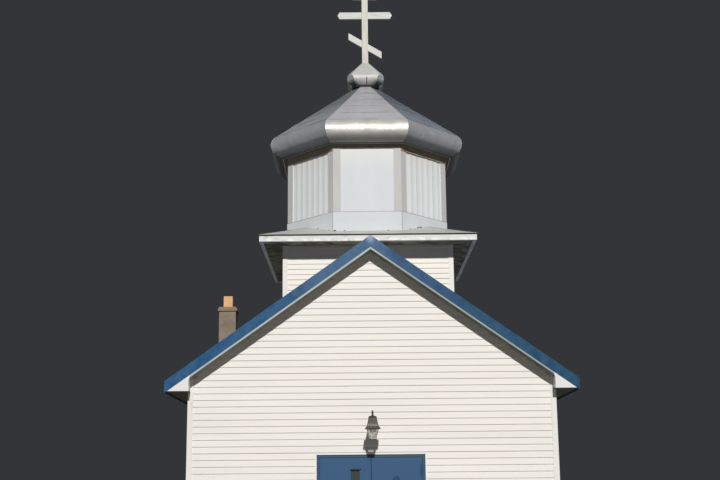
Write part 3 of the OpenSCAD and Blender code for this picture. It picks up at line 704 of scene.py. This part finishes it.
hips.turn_in(hip, 0, 0, 2, 2, 4, 4, 6, 6)  # each lies twice on the same spot
hips.piece("skirt_hips", skirt_paint, "skirt_roofing")
inner = tower_half + 0.004
width = (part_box("skirt_fascia")[1].x - 0.022 - inner) / 3
ring = Stock()
for i in range(3):
    a, b = inner + i * width, inner + (i + 1) * width - 0.006
    ring.prism([(-a, -a), (a, -a), (b, -b), (-b, -b)], "z", tower_soffit - 0.003, tower_soffit)
skirt_boards = Stock()
skirt_boards.turn_in(ring, 0, 2, 4, 6)
skirt_boards.piece("skirt_soffit_boards", soffit_paint, "soffit_white")


# The eight-sided drum has four smooth sides and four ribbed ones, in pale grey-white painted sheet. The
# corners have wide boards folded round them in a duller white, and a plain band runs round the foot.
# On the four faces across the corners the sheet, the boards' legs and the band are painted lighter,
# as painted light, and the band's top has a dark line of painted shade.
def off_square(point):
    """1 on the four faces that stand across the corners and 0 on the four square ones."""
    x_off, y_off = abs(point.axis("X")), abs(point.axis("Y"))
    return x_off.math("MINIMUM", x_off, y_off) / x_off.math("MAXIMUM", x_off, y_off) > face_half


drum_sheet, coat, point = finish("drum_sheet", 0.5)
chalky = point.stretched((1, 1, 0.3)).clouds(0.5, 4.0)
smooth_white = chalky.colour(paint(222, 225, 230), paint(204, 207, 212))
# The ribbed faces across the corners are painted lighter: painted light.
ribbed_white_lightened = chalky.colour(paint(251, 254, 255), paint(230, 234, 239))
warm_top = point.axis("Z").between(8.6, 9.25) * 0.7
sheet_white = off_square(point).colour(smooth_white, ribbed_white_lightened)
feed(warm_top.colour(sheet_white, paint(232, 228, 218)), coat["Base Color"])
corner_paint, coat, point = finish("drum_corner_paint", 0.5)
worn = point.stretched((1, 1, 0.3)).clouds(0.3, 4.0)
square_leg = worn.colour(paint(200, 199, 197), paint(180, 179, 177))
# Legs on the faces across the corners are painted lighter: painted light.
oblique_leg_lightened = worn.colour(paint(216, 216, 217), paint(196, 196, 197))
feed(off_square(point).colour(square_leg, oblique_leg_lightened), coat["Base Color"])
band_paint, coat, point = finish("drum_band_paint", 0.45)
mottle = point.clouds(0.4, 4.0) * 0.6
square_band = mottle.colour(paint(212, 216, 221), paint(188, 192, 194))
# The band across the corners is painted lighter: painted light.
oblique_band_lightened = mottle.colour(paint(234, 238, 243), paint(208, 212, 214))
# A dark line along the band's top: painted shade in the gap above it.
band_top_shade = point.axis("Z") > band_top - 0.007
band_white = off_square(point).colour(square_band, oblique_band_lightened)
feed(band_top_shade.colour(band_white, paint(104, 106, 104)), coat["Base Color"])
dress(drum_sheet, "drum_walls")
dress(corner_paint, "drum_corner_boards")
dress(band_paint, "drum_base_band")
drum_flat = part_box("drum_walls")[1].x
drum_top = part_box("drum_walls")[1].z
drum_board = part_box("drum_corner_boards")[1].x
drum_leg = 0.165
panel_half = drum_board * face_half - drum_leg
rib_pitch = 0.181
outline = [(-panel_half, 0.0), (-panel_half, 0.003)]
for i in range(6):
    u = (i - 2.5) * rib_pitch + 0.02
    outline += [(u - 0.034, 0.003), (u - 0.012, 0.0078), (u + 0.012, 0.0078), (u + 0.034, 0.003)]
outline += [(panel_half, 0.003), (panel_half, 0.0)]
panel = Stock()
panel.prism([(u, -drum_flat - out) for u, out in outline], "z", band_top, drum_top)
ribbed = Stock()
ribbed.turn_in(panel, 1, 3, 5, 7)
ribbed.piece("drum_ribbed_panels", drum_sheet, "drum_panel")
panel = Stock()
panel.box((-panel_half, -drum_flat - 0.008, band_top), (panel_half, -drum_flat, drum_top))
smooth = Stock()
smooth.turn_in(panel, 0, 2, 4, 6)
smooth.piece("drum_smooth_panels", drum_sheet, "drum_panel")
corner = band_out * face_half
band_foot = 7.26
joint = Stock()
joint.box((corner - 0.008, -band_out - 0.0012, band_foot), (corner, -band_out, band_top))
joints = Stock()
joints.turn_in(joint, *range(8))
joints.piece("band_joints", mastic, "drum_panel")

# The dome is clad in weathered galvanised sheet: courses of small sheets on its eight upper faces,
# each lapped over the one below, and a fat roll bent round the shoulder and crimped at the corners.
# Plain boards close it underneath, and dark boards stand as a frieze round the top of the drum: partly
# a frieze and partly painted shade, their lower edge set along the edge of the roll's shadow.
galvanised, coat, point = finish("galvanised_sheet", metallic=0.4)
spangle = point.clouds(0.16, 5.0)
streak = point.stretched((3, 3, 0.6)).clouds(0.35, 4.0)
oblique = off_square(point)
rightward = point.axis("X").between(-1.2, 1.2)
# The square upper faces are painted lightest, the faces across the corners darker and the right-hand ones
# darker and bluer still: painted light and shade for how the light fell on each face. The sheet is also
# duller towards the top.
bright = oblique.colour(paint(226, 226, 232), rightward.colour(paint(202, 206, 211), paint(176, 186, 199)))
dull = oblique.colour(paint(182, 183, 190), rightward.colour(paint(118, 124, 128), paint(90, 102, 114)))
upper = point.axis("Z").between(9.75, 10.85)
feed((spangle * 0.45 + streak * 0.45 + upper * 0.5 - 0.2).colour(bright, dull), coat["Base Color"])
feed(spangle * 0.25 + 0.34, coat["Roughness"])
(point.clouds(0.45, 2.0) + point.clouds(0.09, 2.0) * 0.12).relief(0.018, coat)
dress(galvanised, "dome")
roll_sheet, coat, point = finish("dome_roll_sheet", metallic=0.33)
dents = point.clouds(0.13, 3.0)
oblique = off_square(point)
# The roll is painted light on its upper part and dark underneath, and its dark tones differ by side and on
# the faces across the corners: painted light and shade, for the sun on its top and the shade below. It is
# also darker along its lowest edge.
lit_share = (point.axis("Z") + oblique * 0.06).between(9.25, 9.43) * 0.85 + dents * 0.3 - 0.15
under_ends = point.axis("X").between(-1.2, 1.2).colour(paint(62, 64, 66), paint(88, 88, 86))
under_square = abs(point.axis("X")).between(1.4, 1.9).colour(paint(158, 154, 148), under_ends)
soil_and_shade = oblique.colour(under_square, paint(84, 87, 91))
lighter_tone = oblique.colour(paint(216, 214, 210), paint(186, 190, 197))
lowest_edge = point.axis("Z").between(drum_top + 0.014, drum_top)
feed(lowest_edge.colour(lit_share.colour(soil_and_shade, lighter_tone), paint(84, 81, 76)), coat["Base Color"])
feed(dents * 0.25 + 0.38, coat["Roughness"])
(point.clouds(0.35, 2.0) + dents * 0.35 - point.axis("Z") * 9.5).relief(0.018, coat)
shade_wood, coat, point = finish("dome_soffit_boards", 0.8)
feed(point.clouds(0.2, 5.0).colour(paint(138, 122, 100), paint(86, 76, 62)), coat["Base Color"])
dress(shade_wood, "dome_soffit")
dome_half = 2.192
belly_rise = 0.300
shoulder = 0.250
dome_angle = math.radians(38.4)
tuck = math.radians(55)
belly = (dome_half - shoulder, drum_top + belly_rise)
fold = (belly[0] + shoulder * math.sin(dome_angle), belly[1] + shoulder * math.cos(dome_angle))
slope_l = (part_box("dome")[1].z - fold[1]) / math.sin(dome_angle)
course_l = slope_l / 5
sheet_w = 0.62


def on_dome(along, across, out):
    """A point on the front upper face: up its slope, across it, and out from it."""
    flat = fold[0] - along * math.cos(dome_angle) + out * math.sin(dome_angle)
    return (across, -flat, fold[1] + along * math.sin(dome_angle) + out * math.cos(dome_angle))


def dome_width(along):
    """Half the width of an upper face at a distance up its slope."""
    return (fold[0] - along * math.cos(dome_angle)) * face_half


cladding = Stock()
lot = random.Random(3)
for turn in range(8):
    facet = Stock()
    for row in range(5):
        s0 = row * course_l - (0.02 if row else 0.0)
        s1 = min((row + 1) * course_l + 0.01, slope_l)
        u = -dome_width(s0) - lot.uniform(0, 0.5)
        while u < dome_width(s0):
            lift = lot.uniform(0.001, 0.007)
            seed = Vector((lot.uniform(0, 50), turn, row))
            rings = []
            for i in range(6):
                s = s0 + (s1 - s0) * i / 5
                half = dome_width(s)
                a = max(u, -half)
                b = min(u + sheet_w - 0.002, half)
                if b - a < 0.004:
                    a = b = max(min((a + b) / 2, half), -half)
                upper_row, under_row = [], []
                for k in range(7):
                    across = a + (b - a) * k / 6
                    dent = 0.0035 * noise.noise(Vector((across * 2.2, s * 2.2, 0)) + seed)
                    height = 0.003 + lift * (1 - i / 5) + dent
                    upper_row.append(on_dome(s, across, height))
                    under_row.append(on_dome(s, across, height - 0.0015))
                rings.append(upper_row + under_row[::-1])
            facet.loft(rings)
            u += sheet_w
    cladding.turn_in(facet, turn)
cladding.piece("dome_cladding", galvanised, "dome_metal", sharp=20)
lip_z = drum_top - 0.011
tuck_rise = belly[1] - shoulder * math.sin(tuck) - lip_z
profile = [(belly[0] + shoulder * math.cos(tuck) - tuck_rise * math.tan(tuck), lip_z)]
for k in range(25):
    a = -tuck + k / 24 * (math.pi / 2 - dome_angle + tuck)
    profile.append((belly[0] + shoulder * math.cos(a), belly[1] + shoulder * math.sin(a)))
roll_bend = Stock()
for turn in range(8):
    facet = Stock()
    rings = []
    for i in range(29):
        share = i / 14 - 1
        crimp = max(0.0, abs(share) - 0.86) / 0.14
        outer_row, inner_row = [], []
        for flat, z in profile:
            dent = 0.005 * noise.noise(Vector((share * 4, z * 5, turn * 7.3)))
            dent += 0.0018 * noise.noise(Vector((share * 14, z * 11, turn * 1.9)))
            dent += 0.014 * crimp * noise.noise(Vector((share * 30, z * 16, turn * 3.1)))
            out = 0.006 + max(dent, -0.0055)
            outer_row.append((share * (flat + out) * face_half, -flat - out, z))
            inner_row.append((share * (flat - 0.004) * face_half, -flat + 0.004, z))
        rings.append(outer_row + inner_row[::-1])
    facet.loft(rings)
    roll_bend.turn_in(facet, turn)
roll_bend.piece("dome_roll", roll_sheet, "dome_metal", sharp=40)
frieze_and_shade = Stock()
frieze_out = drum_board + 0.012
ends = [(i / 8 - 1) * frieze_out * face_half for i in range(17)]
for turn in range(8):
    # The boards' lower edge follows the roll's shadow edge, lower on the faces across the corners.
    foot = 9.080 if turn % 2 else 9.150
    under = [(u, foot + lot.uniform(-0.008, 0.008)) for u in ends]
    board = Stock()
    board.prism(under + [(ends[-1], drum_top), (ends[0], drum_top)], "y", -frieze_out, -drum_board - 0.001)
    frieze_and_shade.turn_in(board, turn)
frieze_and_shade_wood, coat, point = finish("frieze_boards_and_shade", 0.8)
feed(point.clouds(0.15, 5.0).colour(paint(186, 172, 150), paint(122, 112, 98)), coat["Base Color"])
frieze_and_shade.piece("drum_frieze_and_shade", frieze_and_shade_wood, "soffit_white")

# The cupola is a small bell of paler sheet on the dome's flat top, square with cut corners. A seam
# runs up near the middle of each main side, and the foot is dressed down over the dome. The band under
# the cone carries a painted highlight, and the cut corners are a darker copy of the sheet, lighter on
# the right: painted shade and light.
bell_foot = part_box("cupola")[0].z
bell_sheet, coat, point = finish("cupola_sheet", 0.6, 0.2)
up = point.axis("Z")
# Darker at the foot under the belly, and low down near the cut corners.
dark_foot = up.between(bell_foot + 0.060, bell_foot + 0.035)
# The band below the cone has tones of its own, its darker tone lighter than the cone's: a painted
# highlight.
cone_part = up.between(bell_foot + 0.27, bell_foot + 0.31)
lighter_tone = cone_part.colour(paint(214, 214, 211), paint(216, 219, 216))
dull = cone_part.colour(paint(182, 182, 179), paint(173, 176, 172))
x_off, y_off = abs(point.axis("X")), abs(point.axis("Y"))
cut_corner = x_off.math("MINIMUM", x_off, y_off).between(0.16, 0.25)
darkening = dark_foot + cut_corner * up.between(bell_foot + 0.17, bell_foot + 0.07) * 0.6
feed(darkening.colour(point.clouds(0.14, 4.0).colour(lighter_tone, dull), paint(66, 64, 62)), coat["Base Color"])
point.clouds(0.12, 2.0).relief(0.006, coat)
dress(bell_sheet, "cupola")
bell_corner, coat, point = finish("cupola_corner_sheet", 0.55, 0.2)
dark_foot = point.axis("Z").between(bell_foot + 0.20, bell_foot + 0.04)
# The right-hand cut corners are painted lighter: painted light from that side.
age_and_side_light = point.clouds(0.12, 4.0) - point.axis("X").between(-0.1, 0.4) * 0.22
aged_and_side_lit = age_and_side_light.colour(paint(200, 206, 210), paint(154, 160, 160))
feed(dark_foot.colour(aged_and_side_lit, paint(64, 68, 64)), coat["Base Color"])
bell_half, bell_round, bell_belly = 0.435, 0.145, 0.197
bell = [(0.276, bell_foot, 1.22)]
for k in range(25):
    a = math.radians(-75 + 113.5 * k / 24)
    squareness = 1.16 + 0.12 * max(0, k - 16) / 8 + 0.045 * max(0, 10 - k) / 10
    bell.append((bell_half - bell_round + bell_round * math.cos(a),
                 bell_foot + bell_belly + bell_round * math.sin(a), squareness))
bell.append((0.076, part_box("cupola")[1].z, 1.28))
rings = []
for flat, z, squareness in bell:
    flat += 0.003
    cut = flat * (squareness * math.sqrt(2) - 1)
    rings.append([(cut, -flat, z), (flat, -cut, z), (flat, cut, z), (cut, flat, z),
                  (-cut, flat, z), (-flat, cut, z), (-flat, -cut, z), (-cut, -flat, z)])
skin = Stock()
skin.loft(rings)
bell_skin = skin.piece("cupola_skin", bell_sheet, "dome_metal", sharp=25)
bell_skin.data.materials.append(bell_corner)
for face in bell_skin.data.polygons:
    on_cut_corner = len(face.vertices) == 4 and face.index % 2 == 0
    face.material_index = 1 if on_cut_corner else 0
seam_fold = ((0.018, 0.001), (0.042, 0.001), (0.035, 0.007), (0.025, 0.007))
seam = Stock()
seam.loft([[(u, -flat - out, z) for u, out in seam_fold] for flat, z, _ in bell[:18]])
seams = Stock()
seams.turn_in(seam, 0, 2, 4, 6)
seams.piece("cupola_seams", plain("cupola_joint", paint(70, 68, 66), 0.7), "dome_metal")

# The cross is sawn from planks and painted white, its post in front of three bars. The paint has
# checked along the grain.
for name, node, along, bright, dull in (
        ("cross_paint", "cross_post", (9, 9, 0.6), paint(208, 204, 194), paint(178, 174, 166)),
        ("cross_bar_paint", "cross_bars", (0.6, 9, 9), paint(208, 207, 203), paint(180, 180, 178))):
    cross_white, coat, point = finish(name, 0.5)
    check = point.stretched(along).clouds(0.25, 4.0)
    feed(check.between(0.45, 0.75).colour(bright, dull), coat["Base Color"])
    check.relief(0.002, coat)
    dress(cross_white, node)

# The chimney is a square shaft of rendered blocks against the left wall, with a sloped concrete cap
# and a clay flue liner standing out of it.
render_coat, coat, point = finish("chimney_render", 0.9)
patch = point.clouds(0.28, 5.0, 0.6).between(0.3, 0.7)
stain = patch * 0.5 + point.clouds(0.12, 3.0).between(0.45, 0.62) * 0.3
feed(stain.colour(paint(148, 129, 117), paint(115, 110, 89)), coat["Base Color"])
point.clouds(0.02, 3.0).relief(0.003, coat)
dress(render_coat, "chimney_shaft")
cap_stone, coat, point = finish("chimney_cap", 0.85)
feed(point.clouds(0.12, 5.0).colour(paint(160, 142, 124), paint(104, 88, 72)), coat["Base Color"])
dress(cap_stone, "chimney_cap")
clay, coat, point = finish("flue_clay", 0.75)
soot = point.axis("Z").between(6.32, 6.41) * point.clouds(0.05, 3.0)
burnt = point.clouds(0.08, 4.0) * 0.6 + soot * 0.4
feed(burnt.colour(paint(237, 190, 143), paint(207, 154, 92)), coat["Base Color"])
dress(clay, "chimney_flue")

# Two flush blue doors hang in a plain frame of a duller blue. White channel finishes the siding
# round it. The left leaf has a narrow pane with a dark rain bar over it, and the right leaf a cover
# plate over its top hinge and a small arched plate.
door_paint, coat, point = finish("door_paint", 0.4)
faded = point.stretched((1, 1, 0.5)).clouds(0.5, 4.0)
feed(faded.colour(paint(34, 82, 118), paint(46, 86, 132)), coat["Base Color"])
frame_paint, coat, point = finish("frame_paint", 0.45)
greener = point.axis("X").between(-0.4, 0.7)
dulled = greener.colour(paint(54, 74, 100), paint(42, 80, 92))
fresh = greener.colour(paint(62, 74, 104), paint(52, 86, 100))
feed(point.clouds(0.4, 4.0).colour(dulled, fresh), coat["Base Color"])
dress(door_paint, "left_door", "right_door")
dress(frame_paint, "door_frame")
# The pane is an even, opaque dark grey-green: painted shade for the dark hall seen through it.
dress(plain("door_glass", paint(66, 74, 68), 0.12), "door_lite")
black = plain("black_enamel", paint(38, 38, 40), 0.4)
dress(black, "door_pull")
casing = Stock()
for x0, x1, foot in ((frame_low.x - channel, frame_low.x, wall_foot),
                     (frame_high.x, frame_high.x + channel, wall_foot),
                     (frame_low.x, frame_high.x, frame_high.z)):
    casing.box((x0, wall_front - 0.020, foot), (x1, wall_front, over_door))
channel_white = plain("channel_white", paint(232, 240, 243), 0.4)
casing.piece("door_casing", channel_white, "white_trim", soften=0.003)
# Black strips line the inside of the frame where the gap between frame and leaves lies in shade: painted
# shade.
shadow_gap_strips = Stock()
rim = 0.013
for x0, x1, foot in ((frame_low.x, frame_low.x + rim, wall_foot),
                     (frame_high.x - rim, frame_high.x, wall_foot),
                     (frame_low.x, frame_high.x, frame_high.z - rim)):
    shadow_gap_strips.box((x0, frame_low.y - 0.002, foot), (x1, frame_low.y + 0.004, frame_high.z))
shadow_gap_strips.piece("door_rim_shadow", black, "dark_metal")
lite_low, lite_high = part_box("door_lite")
leaf_face = wall_front - 0.014
bead_out, bead_in = 0.014, 0.004
bead_foot = lite_low.z - bead_out
beads = Stock()
for x0, x1, bead_top in ((lite_low.x - bead_out, lite_low.x + bead_in, lite_high.z),
                         (lite_high.x - bead_in, lite_high.x + bead_out, lite_high.z),
                         (lite_low.x, lite_high.x, lite_low.z + bead_in)):
    beads.box((x0, leaf_face - 0.006, bead_foot), (x1, leaf_face + 0.006, bead_top))
beads.piece("lite_beads", door_paint, "door_blue", body="left_leaf", soften=0.002)
rain_bar = Stock()
rain_bar.box((lite_low.x - 0.012, leaf_face - 0.012, lite_high.z),
             (lite_high.x + 0.024, leaf_face + 0.004, lite_high.z + 0.026))
rain_bar.piece("lite_rain_bar", black, "dark_metal", body="left_leaf", soften=0.003)
worn_blue = plain("worn_plate_paint", paint(32, 76, 106), 0.6, gloss=0.2)
plates = Stock()
plates.box((0.814, leaf_face - 0.0065, 1.922), (0.842, leaf_face + 0.004, 2.125))
arch = [(0.4025 + 0.0595 * math.cos(i * math.pi / 12), 1.868 + 0.059 * math.sin(i * math.pi / 12))
        for i in range(13)]
plates.prism([(0.462, 1.790), *arch, (0.343, 1.790)], "y", leaf_face - 0.003, leaf_face + 0.004)
plates.piece("right_leaf_plates", worn_blue, "door_blue", body="right_leaf")

# The lantern over the door is bronze-painted: a fluted bell-shaped hood with a finial over an open
# cage with four seeded panes, on an arm from the wall. A band of each pane is clearer than the rest.
bronze, coat, point = finish("bronze_paint", 0.5, 0.2)
feed(point.clouds(0.04, 4.0).colour(paint(104, 97, 88), paint(66, 60, 52)), coat["Base Color"])
dress(bronze, "lantern_arm", "lantern_frame")
lantern_low, lantern_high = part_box("lantern_frame")
hood_foot = lantern_high.z - 0.313
middle = (lantern_low.y + lantern_high.y) / 2
rings = []
for half, rise in ((0.1272, 0.0), (0.1272, 0.014), (0.106, 0.030), (0.094, 0.061), (0.087, 0.084),
                   (0.079, 0.118), (0.072, 0.156), (0.065, 0.190)):
    flute = 0.0035 if rise > 0.02 else 0.0
    flank = [Vector((half * (i / 6 - 1), -half - flute * (i % 2), hood_foot + rise)) for i in range(12)]
    rings.append([Matrix.Rotation(turn * math.pi / 2, 3, "Z") @ spot + Vector((0, middle, 0))
                  for turn in range(4) for spot in flank])
hood = Stock()
hood.loft(rings)
hood.piece("lantern_hood", bronze, "bronze", sharp=25)
dark_bronze = plain("dark_bronze", paint(56, 52, 42), 0.5, 0.2)
crown = Stock()
crown.turned(((0.066, 0.176), (0.074, 0.186), (0.072, 0.200), (0.058, 0.212), (0.028, 0.221),
              (0.019, 0.226), (0.015, 0.25), (0.018, 0.27), (0.010, 0.312)), (0, middle, hood_foot), 16)
crown.piece("lantern_crown", dark_bronze, "bronze", sharp=50)
panes, coat, point = finish("lantern_panes", 0.18)
seeds = point.clouds(0.03, 3.0).between(0.35, 0.65)
feed(seeds.colour(paint(228, 225, 218), paint(158, 155, 148)), coat["Base Color"])
up = point.axis("Z")
behind = point.axis("Y") > middle
upper_band = (up > lantern_low.z + 0.112) * (up < lantern_low.z + 0.162)
lower_band = (up > lantern_low.z + 0.024) * (up < lantern_low.z + 0.070)
clear_band = (behind * lower_band + (1 - behind) * upper_band * 0.8) * (abs(point.axis("X")) < 0.05)
feed(0.85 - clear_band * 0.72, coat["Alpha"])
point.clouds(0.012, 2.0).relief(0.004, coat)
dress(panes, "lantern_glass")
pane = Stock()
pane.loft([[(u, v, z) for u, v in oblong(-half, half, -out - 0.0015, 0.001 - out)]
           for z, half, out in ((lantern_low.z + 0.006, 0.054, 0.060), (hood_foot - 0.001, 0.088, 0.0995))])
glazing = Stock()
for turn in range(4):
    glazing.add(pane, Matrix.Translation((0, middle, 0)) @ Matrix.Rotation(turn * math.pi / 2, 4, "Z"))
glazed = glazing.piece("lantern_glazing", panes, "lantern_panes")
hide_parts("lantern_glass")
